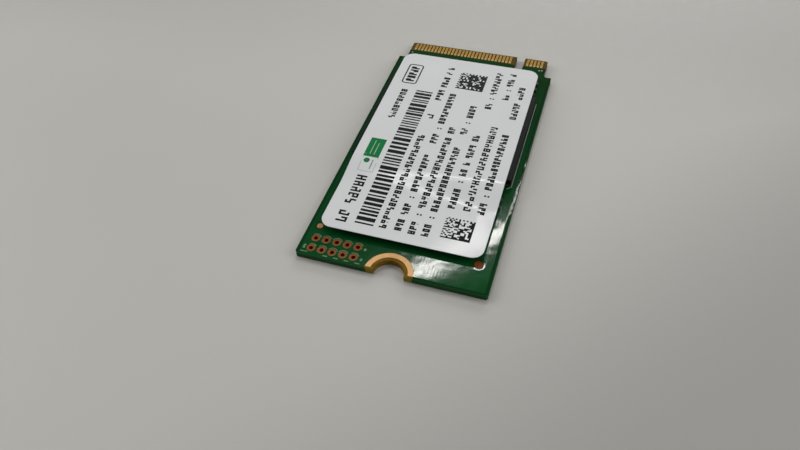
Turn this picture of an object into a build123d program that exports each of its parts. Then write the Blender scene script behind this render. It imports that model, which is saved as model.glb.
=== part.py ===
from build123d import *
import os

# A solid-state drive card: a keyed card-edge circuit board that carries one memory package,
# the power parts beside it, and a printed label that lies over them all.
# X runs across the board, +Y towards the card edge, +Z up from the underside, in millimetres.

# Circuit board
board_width = 22.0
board_length = 42.0
board_thickness = 0.8
board_corner_radius = 0.3

# Card-edge tongue, with a bevelled tip
shoulder_step = 1.075
tongue_length = 4.0
tongue_corner_radius = 0.5
shoulder_radius = 0.5
bevel_run = 0.4
bevel_depth = 0.18

# Key notch in the tongue
key_offset = 6.125
key_width = 1.2
key_depth = 3.5
key_mouth_radius = 0.2

# Outer copper, level with the mask, which is as thick
copper_thickness = 0.03
mask_clearance = 0.02

# Edge contacts: the lower row has one fewer, so it sits half a pitch off the upper one
contact_pitch = 0.5
contact_width = 0.35
contact_length = 1.55
contact_tip_gap = 0.05
contact_end_chamfer = 0.08
contact_edge_margin = 0.65
contact_key_margin = 0.4
bare_edge_length = 2.15

# Screw notch and its half-ring pads
screw_notch_radius = 1.75
screw_pad_inner_radius = 2.15
screw_pad_outer_radius = 2.75
screw_pad_edge_margin = 0.25

# Plated test holes, two rows between the screw pad and the board's side
test_hole_columns = 5
test_hole_rows = 2
test_hole_pitch = 1.27
test_hole_row_pitch = 1.47
test_hole_radius = 0.25
test_ring_radius = 0.51
test_grid_shift = -0.04
test_edge_margin = 1.01

# Alignment targets, in round mask openings
left_target_radius = 0.37
right_target_radius = 0.48
target_opening_margin = 0.1
left_target_side_margin = 1.3
left_target_near_margin = 4.3
right_target_side_margin = 1.9
right_target_near_margin = 3.78

# Memory package on its solder balls
package_width = 20.0
package_depth = 16.0
package_far_margin = 10.05
ball_height = 0.22
ball_radius = 0.19
ball_sides = 8
ball_pitch = 1.27
ball_rim_margin = 1.0
ball_ring_rows = 2
ball_core_columns = 5
ball_core_rows = 4
substrate_thickness = 0.26
mould_thickness = 0.72

# Power controller on its leads
controller_size = 4.0
controller_body_height = 0.65
controller_x = 0.6
lead_thickness = 0.1
lead_width = 0.25
lead_length = 0.45
lead_pitch = 0.5
lead_toe = 0.08
leads_per_side = 6
thermal_pad_size = 2.6

# Power inductors, in line with the controller
inductor_length = 2.5
inductor_width = 2.0
inductor_height = 0.8
inductor_terminal_thickness = 0.1
inductor_terminal_width = 1.6
inductor_terminal_foot = 0.6
inductor_terminal_rise = 0.4
inductor_gap = 0.9
power_row_gap = 5.6

# Chip parts, each with a terminal at both ends
input_capacitor_length = 1.6
input_capacitor_width = 0.8
input_capacitor_height = 0.7
input_terminal_length = 0.35
chip_length = 1.0
chip_width = 0.5
capacitor_height = 0.5
resistor_height = 0.35
chip_terminal_length = 0.25
chip_body_inset = 0.02

# Rows of chip parts
bypass_pitch = 1.7
bypass_rim_margin = 2.2
coupling_count = 8
coupling_pitch = 1.2
input_count = 6
input_pitch = 2.4
pull_count = 7
pull_pitch = 2.0
row_gap = 0.7
side_count = 3
side_near_count = 2
side_pitch = 1.2
side_gap = 1.35
side_rim_margin = 0.45

# Clock crystal
crystal_length = 2.0
crystal_width = 1.6
crystal_base_height = 0.3
crystal_lid_height = 0.2
crystal_lid_border = 0.12
crystal_corner_radius = 0.2

# Label, stuck to the package and bent down to the power parts beyond it
label_left_margin = 1.36
label_right_margin = 1.6
label_far_margin = 4.64
label_near_margin = 3.81
label_thickness = 0.08
label_corner_radius = 1.4
label_bend_gap = 0.2

# Places worked out from the sizes above
tongue_width = board_width - 2 * shoulder_step
tip_y = board_length / 2
near_y = -board_length / 2
shoulder_y = tip_y - tongue_length
top_z = board_thickness
laminate_top_z = top_z - copper_thickness
package_far_y = tip_y - package_far_margin
package_y = package_far_y - package_depth / 2
package_near_y = package_far_y - package_depth
substrate_z = top_z + ball_height
mould_z = substrate_z + substrate_thickness
package_top_z = mould_z + mould_thickness

lower_face = Plane.XY
upper_face = Plane.XY.offset(top_z)
upper_copper_face = Plane.XY.offset(laminate_top_z)

test_grid_x = -(board_width / 2 + screw_pad_outer_radius) / 2 + test_grid_shift
test_grid_y = near_y + test_edge_margin + (test_hole_rows - 1) * test_hole_row_pitch / 2

left_target = (-board_width / 2 + left_target_side_margin, near_y + left_target_near_margin)
right_target = (board_width / 2 - right_target_side_margin, near_y + right_target_near_margin)


def write(piece, name):
    piece.part.label = name
    export_step(piece.part, f"parts/{name}.step")


def spread(count, pitch, middle=0.0):
    return [middle + (i - (count - 1) / 2) * pitch for i in range(count)]


def count_within(span, pitch):
    return int(span / pitch) + 1


def test_hole_grid():
    return GridLocations(test_hole_pitch, test_hole_row_pitch, test_hole_columns, test_hole_rows)


os.makedirs("parts", exist_ok=True)

# Circuit board: outline, notches and drilled holes, then the mask openings on each face
with BuildPart() as circuit_board:
    with BuildSketch(lower_face):
        with Locations((0, (near_y + shoulder_y) / 2)):
            Rectangle(board_width, board_length - tongue_length)
        with Locations((0, (shoulder_y + tip_y) / 2)):
            Rectangle(tongue_width, tongue_length)
        fillet(vertices().group_by(Axis.Y)[1].sort_by(Axis.X)[1:3], shoulder_radius)
        fillet(vertices().group_by(Axis.Y)[-1], tongue_corner_radius)
        fillet(vertices().group_by(Axis.Y)[0], board_corner_radius)
        with Locations((key_offset, tip_y)):
            SlotOverall(2 * key_depth, key_width, rotation=90, mode=Mode.SUBTRACT)
        fillet(vertices().group_by(Axis.Y)[-1].sort_by(Axis.X)[1:3], key_mouth_radius)
        with Locations((0, near_y)):
            Circle(screw_notch_radius, mode=Mode.SUBTRACT)
        with Locations((test_grid_x, test_grid_y)):
            with test_hole_grid():
                Circle(test_ring_radius, mode=Mode.SUBTRACT)
    extrude(amount=board_thickness)
    for face_plane, depth in ((upper_face, -copper_thickness), (lower_face, copper_thickness)):
        with BuildSketch(face_plane):
            with Locations((0, tip_y - bare_edge_length / 2)):
                Rectangle(board_width, bare_edge_length)
            with Locations((0, near_y)):
                Circle(screw_pad_outer_radius + mask_clearance)
        extrude(amount=depth, mode=Mode.SUBTRACT)
    with BuildSketch(upper_face):
        with Locations(left_target):
            Circle(left_target_radius + target_opening_margin)
        with Locations(right_target):
            Circle(right_target_radius + target_opening_margin)
    extrude(amount=-copper_thickness, mode=Mode.SUBTRACT)
    with BuildSketch(Plane.YZ):
        with BuildLine():
            Polyline(
                (tip_y - bevel_run, laminate_top_z),
                (tip_y, laminate_top_z),
                (tip_y, laminate_top_z - bevel_depth),
                close=True,
            )
        make_face()
        with BuildLine():
            Polyline(
                (tip_y - bevel_run, copper_thickness),
                (tip_y, copper_thickness),
                (tip_y, copper_thickness + bevel_depth),
                close=True,
            )
        make_face()
    extrude(amount=board_width / 2, both=True, mode=Mode.SUBTRACT)
write(circuit_board, "circuit_board")


# Edge contacts: a row of plates with nipped inner corners, left out where the key notch runs
def contact_row(face_plane, places):
    contact_y = tip_y - bevel_run - contact_tip_gap - contact_length / 2
    with BuildPart() as row:
        with BuildSketch(face_plane):
            with Locations(*[(x, contact_y) for x in places]):
                Rectangle(contact_width, contact_length)
            chamfer(vertices().group_by(Axis.Y)[0], contact_end_chamfer)
        extrude(amount=copper_thickness)
    return row


key_keep_out = key_width / 2 + contact_key_margin
contact_count = count_within(tongue_width - 2 * contact_edge_margin, contact_pitch)
contact_rows = (
    ("upper", upper_copper_face, spread(contact_count, contact_pitch)),
    ("lower", lower_face, spread(contact_count - 1, contact_pitch)),
)
for side, face_plane, places in contact_rows:
    long_group = contact_row(face_plane, [x for x in places if x < key_offset - key_keep_out])
    write(long_group, f"edge_contacts_{side}_long")
    short_group = contact_row(face_plane, [x for x in places if x > key_offset + key_keep_out])
    write(short_group, f"edge_contacts_{side}_short")

# Half-ring pads that the screw head and the standoff bear on
for side, face_plane in (("upper", upper_copper_face), ("lower", lower_face)):
    with BuildPart() as screw_pad:
        with BuildSketch(face_plane):
            with Locations((0, near_y)):
                Circle(screw_pad_outer_radius)
                Circle(screw_pad_inner_radius, mode=Mode.SUBTRACT)
            with Locations((0, near_y + screw_pad_edge_margin)):
                Rectangle(
                    2 * screw_pad_outer_radius,
                    screw_pad_outer_radius,
                    align=(Align.CENTER, Align.MIN),
                    mode=Mode.INTERSECT,
                )
        extrude(amount=copper_thickness)
    write(screw_pad, f"screw_pad_{side}")

# Plated test holes: metal tubes through the board, level with both faces
with BuildPart() as test_hole_barrels:
    with BuildSketch(lower_face):
        with Locations((test_grid_x, test_grid_y)):
            with test_hole_grid():
                Circle(test_ring_radius)
                Circle(test_hole_radius, mode=Mode.SUBTRACT)
    extrude(amount=board_thickness)
write(test_hole_barrels, "test_hole_barrels")

# Alignment targets
targets = (("left", left_target, left_target_radius), ("right", right_target, right_target_radius))
for side, place, radius in targets:
    with BuildPart() as target:
        with BuildSketch(upper_copper_face):
            with Locations(place):
                Circle(radius)
        extrude(amount=copper_thickness)
    write(target, f"alignment_target_{side}")

# Solder joints under the package: rings along the rim and a block in the middle
ball_columns = count_within(package_width - 2 * ball_rim_margin, ball_pitch)
ball_rows = count_within(package_depth - 2 * ball_rim_margin, ball_pitch)
ball_places = []
for column, x in enumerate(spread(ball_columns, ball_pitch)):
    for row, y in enumerate(spread(ball_rows, ball_pitch, package_y)):
        rim_distance = min(column, row, ball_columns - 1 - column, ball_rows - 1 - row)
        in_core_columns = abs(x) < ball_core_columns * ball_pitch / 2
        in_core_rows = abs(y - package_y) < ball_core_rows * ball_pitch / 2
        if rim_distance < ball_ring_rows or (in_core_columns and in_core_rows):
            ball_places.append((x, y))
with BuildPart() as package_balls:
    with BuildSketch(upper_face):
        with Locations(*ball_places):
            RegularPolygon(ball_radius, ball_sides)
    extrude(amount=ball_height)
write(package_balls, "package_balls")

# Package: sawn substrate and mould of one outline
with BuildPart() as package_substrate:
    with BuildSketch(Plane.XY.offset(substrate_z)):
        with Locations((0, package_y)):
            Rectangle(package_width, package_depth)
    extrude(amount=substrate_thickness)
write(package_substrate, "package_substrate")

with BuildPart() as package_mould:
    with BuildSketch(Plane.XY.offset(mould_z)):
        with Locations((0, package_y)):
            Rectangle(package_width, package_depth)
    extrude(amount=mould_thickness)
write(package_mould, "package_mould")

# Power controller: leads along four sides and a thermal pad, with the body on them
power_row_y = package_near_y - power_row_gap - inductor_width / 2
with BuildPart() as controller_leads:
    with BuildSketch(upper_face):
        lead_reach = controller_size / 2 + lead_toe - lead_length / 2
        with Locations((controller_x, power_row_y)):
            Rectangle(thermal_pad_size, thermal_pad_size)
            with PolarLocations(0, 4):
                with Locations(*[(lead_reach, y) for y in spread(leads_per_side, lead_pitch)]):
                    Rectangle(lead_length, lead_width)
    extrude(amount=lead_thickness)
write(controller_leads, "power_controller_leads")

with BuildPart() as controller_body:
    with BuildSketch(Plane.XY.offset(top_z + lead_thickness)):
        with Locations((controller_x, power_row_y)):
            Rectangle(controller_size, controller_size)
    extrude(amount=controller_body_height)
write(controller_body, "power_controller_body")

# Inductors: two on one side of the controller and one on the other
inductor_reach = inductor_length / 2 + inductor_terminal_thickness
inductor_left_x = controller_x - controller_size / 2 - inductor_gap - inductor_reach
inductor_step = 2 * inductor_reach + inductor_gap
inductor_places = (
    ("outer", inductor_left_x - inductor_step),
    ("inner", inductor_left_x),
    ("right", controller_x + controller_size / 2 + inductor_gap + inductor_reach),
)
for name, x in inductor_places:
    with BuildPart() as inductor_body:
        with BuildSketch(Plane.XY.offset(top_z + inductor_terminal_thickness)):
            with Locations((x, power_row_y)):
                Rectangle(inductor_length, inductor_width)
        extrude(amount=inductor_height - inductor_terminal_thickness)
    write(inductor_body, f"inductor_{name}_body")
    with BuildPart() as inductor_terminals:
        with BuildSketch(Plane.XZ.offset(-power_row_y)):
            with Locations((x + inductor_reach, top_z)):
                Rectangle(inductor_terminal_foot, inductor_terminal_thickness, align=(Align.MAX, Align.MIN))
                Rectangle(inductor_terminal_thickness, inductor_terminal_rise, align=(Align.MAX, Align.MIN))
            with Locations((x - inductor_reach, top_z)):
                Rectangle(inductor_terminal_foot, inductor_terminal_thickness, align=(Align.MIN, Align.MIN))
                Rectangle(inductor_terminal_thickness, inductor_terminal_rise, align=(Align.MIN, Align.MIN))
        extrude(amount=inductor_terminal_width / 2, both=True)
    write(inductor_terminals, f"inductor_{name}_terminals")


# Chip parts: end terminals that stand on the board, and a body held between them
def chip_bodies(places, length, width, height, terminal_length):
    with BuildPart() as bodies:
        with BuildSketch(Plane.XY.offset(top_z + chip_body_inset)):
            with Locations(*places):
                Rectangle(length - 2 * terminal_length, width - 2 * chip_body_inset)
        extrude(amount=height - 2 * chip_body_inset)
    return bodies


def chip_terminals(places, length, width, height, terminal_length):
    reach = (length - terminal_length) / 2
    with BuildPart() as terminals:
        with BuildSketch(upper_face):
            with Locations(*places):
                with Locations((-reach, 0), (reach, 0)):
                    Rectangle(terminal_length, width)
        extrude(amount=height)
    return terminals


def row_along_x(count, pitch, y, turn):
    return [Location((x, y, 0), (0, 0, turn)) for x in spread(count, pitch)]


def column_along_y(count, pitch, x, first_y):
    return [Location((x, first_y + i * pitch, 0)) for i in range(count)]


bypass_count = count_within(package_width - 2 * bypass_rim_margin, bypass_pitch)
bypass_y = package_near_y - row_gap - chip_length / 2
coupling_y = package_far_y + 2 * row_gap + crystal_width / 2
input_y = power_row_y - controller_size / 2 - row_gap - input_capacitor_width / 2
pull_y = input_y - input_capacitor_width / 2 - row_gap - chip_width / 2
side_x = package_width / 2 - side_rim_margin - chip_length / 2
side_far_y = package_far_y + side_gap + chip_width / 2
side_near_y = bypass_y - chip_length / 2 - row_gap

capacitor_places = row_along_x(bypass_count, bypass_pitch, bypass_y, 90)
capacitor_places += row_along_x(coupling_count, coupling_pitch, coupling_y, 90)
resistor_places = row_along_x(pull_count, pull_pitch, pull_y, 0)
resistor_places += column_along_y(side_count, side_pitch, side_x, side_far_y)
resistor_places += column_along_y(side_near_count, -side_pitch, side_x, side_near_y)
input_places = row_along_x(input_count, input_pitch, input_y, 0)
input_size = (input_capacitor_length, input_capacitor_width, input_capacitor_height, input_terminal_length)
chip_groups = (
    ("input_capacitor", input_places, input_size),
    ("capacitor", capacitor_places, (chip_length, chip_width, capacitor_height, chip_terminal_length)),
    ("resistor", resistor_places, (chip_length, chip_width, resistor_height, chip_terminal_length)),
)
for name, places, size in chip_groups:
    write(chip_bodies(places, *size), f"{name}_bodies")
    write(chip_terminals(places, *size), f"{name}_terminals")

# Clock crystal at the end of the coupling row: ceramic base and metal lid
coupling_end_x = -(coupling_count - 1) * coupling_pitch / 2 - chip_width / 2
crystal_x = coupling_end_x - row_gap - crystal_length / 2
with BuildPart() as crystal_base:
    with BuildSketch(upper_face):
        with Locations((crystal_x, coupling_y)):
            Rectangle(crystal_length, crystal_width)
    extrude(amount=crystal_base_height)
write(crystal_base, "crystal_base")

with BuildPart() as crystal_lid:
    with BuildSketch(Plane.XY.offset(top_z + crystal_base_height)):
        with Locations((crystal_x, coupling_y)):
            RectangleRounded(
                crystal_length - 2 * crystal_lid_border,
                crystal_width - 2 * crystal_lid_border,
                crystal_corner_radius,
            )
    extrude(amount=crystal_lid_height)
write(crystal_lid, "crystal_lid")

# Label: flat on the package, then an easy bend down to the tallest of the power parts
tallest_power_part = max(inductor_height, input_capacitor_height, lead_thickness + controller_body_height)
low_z = top_z + tallest_power_part
low_top_z = low_z + label_thickness
high_z = package_top_z
high_top_z = high_z + label_thickness
label_width = board_width - label_left_margin - label_right_margin
label_x = (label_left_margin - label_right_margin) / 2
label_far_y = tip_y - label_far_margin
label_near_y = near_y + label_near_margin
bend_start_y = package_near_y - label_bend_gap
bend_end_y = power_row_y + inductor_width / 2 + label_bend_gap
with BuildPart() as label:
    with BuildSketch(Plane.YZ.offset(label_x)):
        with BuildLine():
            Line((label_far_y, high_z), (bend_start_y, high_z))
            Spline((bend_start_y, high_z), (bend_end_y, low_z), tangents=[(-1, 0), (-1, 0)])
            Line((bend_end_y, low_z), (label_near_y, low_z))
            Line((label_near_y, low_z), (label_near_y, low_top_z))
            Line((label_near_y, low_top_z), (bend_end_y, low_top_z))
            Spline((bend_end_y, low_top_z), (bend_start_y, high_top_z), tangents=[(1, 0), (1, 0)])
            Line((bend_start_y, high_top_z), (label_far_y, high_top_z))
            Line((label_far_y, high_top_z), (label_far_y, high_z))
        make_face()
    extrude(amount=label_width / 2, both=True)
    fillet(edges().filter_by(Axis.Z), label_corner_radius)
write(label, "label")
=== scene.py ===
import math
import random

import bmesh
import bpy
from mathutils import Matrix, Vector


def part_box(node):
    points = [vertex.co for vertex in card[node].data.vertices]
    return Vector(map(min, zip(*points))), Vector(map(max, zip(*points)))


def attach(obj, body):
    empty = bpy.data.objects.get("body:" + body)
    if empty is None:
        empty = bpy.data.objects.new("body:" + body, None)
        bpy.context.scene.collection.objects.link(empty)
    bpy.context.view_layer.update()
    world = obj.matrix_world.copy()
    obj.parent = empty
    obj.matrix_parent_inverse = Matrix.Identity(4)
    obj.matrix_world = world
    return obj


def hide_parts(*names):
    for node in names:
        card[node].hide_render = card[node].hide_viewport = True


# A solid-state drive card on a pale table: the finishes of its board, metal and packages, its bent
# printed label, the white legend on the board and the mask beads round the test holes. Sizes are in
# millimetres, and MM turns them into the scene's metres. X runs across the card, +Y towards the card
# edge, +Z up.

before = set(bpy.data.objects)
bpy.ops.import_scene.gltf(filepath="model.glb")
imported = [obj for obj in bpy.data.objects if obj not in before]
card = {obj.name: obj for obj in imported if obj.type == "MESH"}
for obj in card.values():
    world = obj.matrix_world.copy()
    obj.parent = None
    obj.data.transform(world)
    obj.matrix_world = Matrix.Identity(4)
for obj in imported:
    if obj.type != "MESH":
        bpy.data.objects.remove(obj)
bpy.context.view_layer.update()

MM = 0.001
BODY = "root"
SEED = 2242


def box_mm(node):
    """A node's lowest and highest corners in millimetres."""
    low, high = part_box(node)
    return low / MM, high / MM


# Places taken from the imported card
board_low, board_high = box_mm("circuit_board")
package_low, package_high = box_mm("package_mould")
inductor_low, inductor_high = box_mm("inductor_inner_body")
label_low, label_high = box_mm("label")
contact_low, contact_high = box_mm("edge_contacts_upper_long")
_, short_contact_high = box_mm("edge_contacts_upper_short")
_, screw_pad_high = box_mm("screw_pad_upper")
barrel_low, barrel_high = box_mm("test_hole_barrels")
left_target_low, left_target_high = box_mm("alignment_target_left")
right_target_low, right_target_high = box_mm("alignment_target_right")
board_top = board_high.z
near_edge = board_low.y
side_edge = board_high.x
screw_pad_reach = screw_pad_high.y - near_edge
left_target = (left_target_low + left_target_high) / 2
right_target = (right_target_low + right_target_high) / 2
left_target_radius = (left_target_high.x - left_target_low.x) / 2
right_target_radius = (right_target_high.x - right_target_low.x) / 2

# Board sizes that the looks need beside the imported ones
tongue_length = 4.0
shoulder_step = 1.075
mask_edge_gap = 0.15
mask_thickness = 0.03
target_opening_margin = 0.1
pour_margin = 0.36
shoulder_y = board_high.y - tongue_length
tongue_edge = side_edge - shoulder_step
mask_end_y = contact_low.y - mask_edge_gap

# Test holes: two rows of five rings
ring_radius = 0.51
ring_columns = 5
ring_rows = 2
ring_pitch = (barrel_high.x - barrel_low.x - 2 * ring_radius) / (ring_columns - 1)
ring_row_pitch = (barrel_high.y - barrel_low.y - 2 * ring_radius) / (ring_rows - 1)
ring_places = [
    (barrel_low.x + ring_radius + column * ring_pitch, barrel_low.y + ring_radius + row * ring_row_pitch)
    for row in range(ring_rows)
    for column in range(ring_columns)
]


# Node wiring, for finishes and for shapes


def wire(tree, kind, inputs=(), **settings):
    """Adds a node, sets it up, and feeds its inputs with values or with other nodes' outputs."""
    node = tree.nodes.new(kind)
    for name, value in settings.items():
        setattr(node, name, value)
    for key, value in dict(inputs).items():
        if isinstance(value, bpy.types.NodeSocket):
            tree.links.new(value, node.inputs[key])
        else:
            node.inputs[key].default_value = value
    return node


def calc(tree, operation, *values, clamp=False):
    """One step of arithmetic on values or other nodes' outputs."""
    step = wire(tree, "ShaderNodeMath", enumerate(values), operation=operation, use_clamp=clamp)
    return step.outputs[0]


def blend_colours(tree, share, first, second):
    """The first colour where share is 0, the second where it is 1."""
    mix = wire(tree, "ShaderNodeMix", {0: share, 6: first, 7: second}, data_type="RGBA")
    return mix.outputs[2]


def blend_numbers(tree, share, first, second):
    """The first number where share is 0, the second where it is 1."""
    mix = wire(tree, "ShaderNodeMix", {0: share, 2: first, 3: second}, data_type="FLOAT")
    return mix.outputs[0]


def shift_range(tree, value, low, high, to_low, to_high, smooth=False):
    """Moves a value from one range to another and holds it at the ends."""
    inputs = {"Value": value, "From Min": low, "From Max": high, "To Min": to_low, "To Max": to_high}
    kind = "SMOOTHSTEP" if smooth else "LINEAR"
    return wire(tree, "ShaderNodeMapRange", inputs, interpolation_type=kind).outputs["Result"]


def millimetres(tree):
    """The object's own coordinates, in millimetres."""
    place = wire(tree, "ShaderNodeTexCoord").outputs["Object"]
    scaled = wire(tree, "ShaderNodeVectorMath", {0: place, "Scale": 1 / MM}, operation="SCALE")
    return scaled.outputs["Vector"]


def noise(tree, place, grain, detail=3.0, stretch=(1.0, 1.0, 1.0)):
    """Noise from 0 to 1 whose lumps are about grain millimetres across, longer along a small stretch."""
    if stretch != (1.0, 1.0, 1.0):
        place = wire(tree, "ShaderNodeMapping", {"Vector": place, "Scale": stretch}).outputs[0]
    inputs = {"Vector": place, "Scale": 1 / grain, "Detail": detail}
    return wire(tree, "ShaderNodeTexNoise", inputs).outputs[0]


def bump(tree, height, depth, strength=1.0):
    """A normal that follows a height from 0 to 1, for a relief of depth millimetres."""
    inputs = {"Height": height, "Distance": depth * MM, "Strength": strength}
    return wire(tree, "ShaderNodeBump", inputs).outputs["Normal"]


def new_finish(name):
    """An empty node material. Returns it, its tree and its shader."""
    finish = bpy.data.materials.new(name)
    finish.use_nodes = True
    tree = finish.node_tree
    tree.nodes.clear()
    shader = wire(tree, "ShaderNodeBsdfPrincipled")
    wire(tree, "ShaderNodeOutputMaterial", {"Surface": shader.outputs[0]})
    return finish, tree, shader


def feed(tree, shader, **values):
    """Sets or links the shader's inputs, with a name's spaces as underscores."""
    for name, value in values.items():
        socket = shader.inputs[name.replace("_", " ")]
        if isinstance(value, bpy.types.NodeSocket):
            tree.links.new(value, socket)
        else:
            socket.default_value = value


def mottled_finish(
    name, dark, light, grain, rough, relief, metallic=0.0, stretch=(1.0, 1.0, 1.0), specular=0.5
):
    """A finish whose colour, gloss and surface vary over lumps of about grain millimetres."""
    finish, tree, shader = new_finish(name)
    place = millimetres(tree)
    lumps = noise(tree, place, grain, 4.0, stretch)
    fine = noise(tree, place, grain / 5, 2.0, stretch)
    spread = shift_range(tree, lumps, 0.3, 0.7, 0.0, 1.0)
    feed(
        tree,
        shader,
        Base_Color=blend_colours(tree, spread, (*dark, 1), (*light, 1)),
        Metallic=metallic,
        Specular_IOR_Level=specular,
        Roughness=shift_range(tree, fine, 0.25, 0.75, *rough),
        Normal=bump(tree, fine, relief),
    )
    return finish


# Finish of the circuit board: green mask, bare laminate at the card edge and the screw notch

mask_green = (0.0018, 0.050, 0.0105, 1)
mask_light = (0.0032, 0.070, 0.0170, 1)
mask_edge_green = (0.0014, 0.034, 0.0065, 1)
# Painted shade: the darker green that the mask takes on towards the card edge
mask_shade_green = (0.0060, 0.028, 0.0020, 1)
wall_green = (0.0160, 0.062, 0.0170, 1)
# Painted highlight: the lighter green at the top of the cut walls
wall_highlight_green = (0.0150, 0.120, 0.0380, 1)
tongue_olive = (0.094, 0.063, 0.013, 1)
notch_brown = (0.190, 0.103, 0.006, 1)
# Partly the laminate's own olive, partly painted light: the paler colour of the near-facing cut face
notch_olive_and_painted_light = (0.210, 0.160, 0.018, 1)
contact_gap_brown = (0.026, 0.008, 0.0003, 1)
laminate_shade = (0.022, 0.012, 0.002, 1)
# Partly bare laminate, partly painted shade: the dark ring of each target's mask opening
opening_brown_and_shade = (0.012, 0.009, 0.003, 1)
mask_rough = (0.065, 0.085)
bare_rough = 1.0
mask_specular = 0.22
# Where the painted shade on the mask begins along Y, and how dark it gets
mask_shade_start = 6.0
mask_shade_share = 0.6

# Heights of what shows through the mask
edge_relief = 0.034
dish_relief = 0.008
swell_relief = 0.007
track_relief = 0.0003
weave_relief = 0.0003
grain_relief = 0.00005

# Where the mask falls past the rim of the copper under it, and how far it dips towards the targets
pour_blur = 0.06
edge_fall_outer = -0.1
edge_fall_inner = pour_margin + 0.09
near_fall_steepness = 1.5
dish_width = 0.4

# Margins that part bare laminate, faces and cut walls
screw_opening_margin = 0.03
notch_wall_margin = 0.1
near_wall_depth = 0.02
# Where the painted highlight on the cut walls begins, as a share of the board's thickness
wall_highlight_start = 0.55
face_sliver = 0.002


def distance_from(tree, x, y, centre):
    """How far a point lies from a centre, seen from above."""
    across = calc(tree, "SUBTRACT", x, centre[0])
    along = calc(tree, "SUBTRACT", y, centre[1])
    squares = calc(tree, "ADD", calc(tree, "POWER", across, 2), calc(tree, "POWER", along, 2))
    return calc(tree, "SQRT", squares)


def distance_inside(tree, x, y, on_tongue):
    """How far inside the board's sides, and right of its middle its near edge, a point lies."""
    half_width = blend_numbers(tree, on_tongue, side_edge, tongue_edge)
    from_side = calc(tree, "SUBTRACT", half_width, calc(tree, "ABSOLUTE", x))
    from_near = calc(tree, "MULTIPLY", calc(tree, "SUBTRACT", y, near_edge), near_fall_steepness)
    left_of_middle = calc(tree, "LESS_THAN", x, 0.0)
    return calc(tree, "MINIMUM", from_side, calc(tree, "ADD", from_near, left_of_middle))


def distance_from_openings(tree, x, y):
    """How far outside the mask opening of the nearer alignment target a point lies."""
    targets = ((left_target, left_target_radius), (right_target, right_target_radius))
    gaps = [
        calc(tree, "SUBTRACT", distance_from(tree, x, y, centre), radius + target_opening_margin)
        for centre, radius in targets
    ]
    return calc(tree, "MINIMUM", *gaps)


def within(tree, value, low, high):
    """1 between the two limits, 0 outside them."""
    above = calc(tree, "GREATER_THAN", value, low)
    below = calc(tree, "LESS_THAN", value, high)
    return calc(tree, "MULTIPLY", above, below)


def contact_rows(tree, x, face):
    """1 between the ends of either group of contacts on one face of the board."""
    rows = []
    for group in ("long", "short"):
        low, high = box_mm(f"edge_contacts_{face}_{group}")
        rows.append(within(tree, x, low.x, high.x))
    return calc(tree, "MAXIMUM", *rows)


def routed_copper(tree, place):
    """Routed copper under the mask, as fine lines in patches: 1 on a line, 0 beside it."""
    patches = shift_range(tree, noise(tree, place, 4.0, 1.0), 0.52, 0.56, 0.0, 1.0)
    lines = wire(
        tree,
        "ShaderNodeTexWave",
        {"Vector": place, "Scale": 0.9, "Distortion": 0.0},
        wave_type="BANDS",
        bands_direction="X",
    )
    return calc(tree, "MULTIPLY", patches, shift_range(tree, lines.outputs["Fac"], 0.2, 0.8, 0.0, 1.0))


def mask_colour(tree, y, inside, broad, tracks):
    """Green mask: lighter over thick copper, darker past its rim, with painted shade towards the card edge.
    """
    lighter = calc(tree, "MULTIPLY", shift_range(tree, broad, 0.35, 0.7, 0.0, 1.0), 0.8)
    lighter = calc(tree, "ADD", lighter, calc(tree, "MULTIPLY", tracks, 0.2), clamp=True)
    pour = shift_range(tree, inside, pour_margin - pour_blur, pour_margin + pour_blur, 0.0, 1.0, smooth=True)
    # Painted shade: the mask darkens from a set Y to the label's far end and stays dark beyond it
    far = shift_range(tree, y, mask_shade_start, label_high.y, 0.0, mask_shade_share)
    mask = blend_colours(tree, lighter, mask_green, mask_light)
    mask = blend_colours(tree, pour, mask_edge_green, mask)
    return blend_colours(tree, far, mask, mask_shade_green)


def laminate_colour(tree, place, y):
    """Bare laminate: olive at the card edge, brown round the screw notch, and darker in patches."""
    laminate = blend_colours(tree, calc(tree, "GREATER_THAN", y, 0.0), notch_brown, tongue_olive)
    shaded = shift_range(tree, noise(tree, place, 0.5, 3.0), 0.35, 0.65, 0.0, 0.35)
    return blend_colours(tree, shaded, laminate, laminate_shade)


def bare_face_colour(tree, x, y, upper, laminate):
    """Bare laminate on the two faces, browner between the contacts."""
    between_contacts = blend_numbers(
        tree, upper, contact_rows(tree, x, "lower"), contact_rows(tree, x, "upper")
    )
    beside_contacts = within(tree, y, contact_low.y, contact_high.y)
    in_contact_row = calc(tree, "MULTIPLY", beside_contacts, between_contacts)
    return blend_colours(tree, in_contact_row, laminate, contact_gap_brown)


def wall_colour(tree, y, z, from_screw, on_tongue, laminate):
    """The cut walls: green with a painted highlight towards the top, bare at the tongue and in the screw
    notch, where the near-facing face is a paler olive, partly painted light.
    """
    near_wall = calc(tree, "LESS_THAN", calc(tree, "SUBTRACT", y, near_edge), near_wall_depth)
    # The near-facing cut face is a paler olive: partly the laminate's own colour, partly painted light for
    # its dim lighting
    cut_laminate = blend_colours(tree, near_wall, laminate, notch_olive_and_painted_light)
    in_notch = calc(tree, "LESS_THAN", from_screw, screw_pad_reach - notch_wall_margin)
    # Painted highlight: the upper part of the cut walls is lighter, where the mask's rounded edge would catch
    # the light
    rim = shift_range(tree, z, board_top * wall_highlight_start, board_top, 0.0, 1.0, smooth=True)
    green_wall = blend_colours(tree, rim, wall_green, wall_highlight_green)
    return blend_colours(tree, calc(tree, "MAXIMUM", on_tongue, in_notch), green_wall, cut_laminate)


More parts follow.
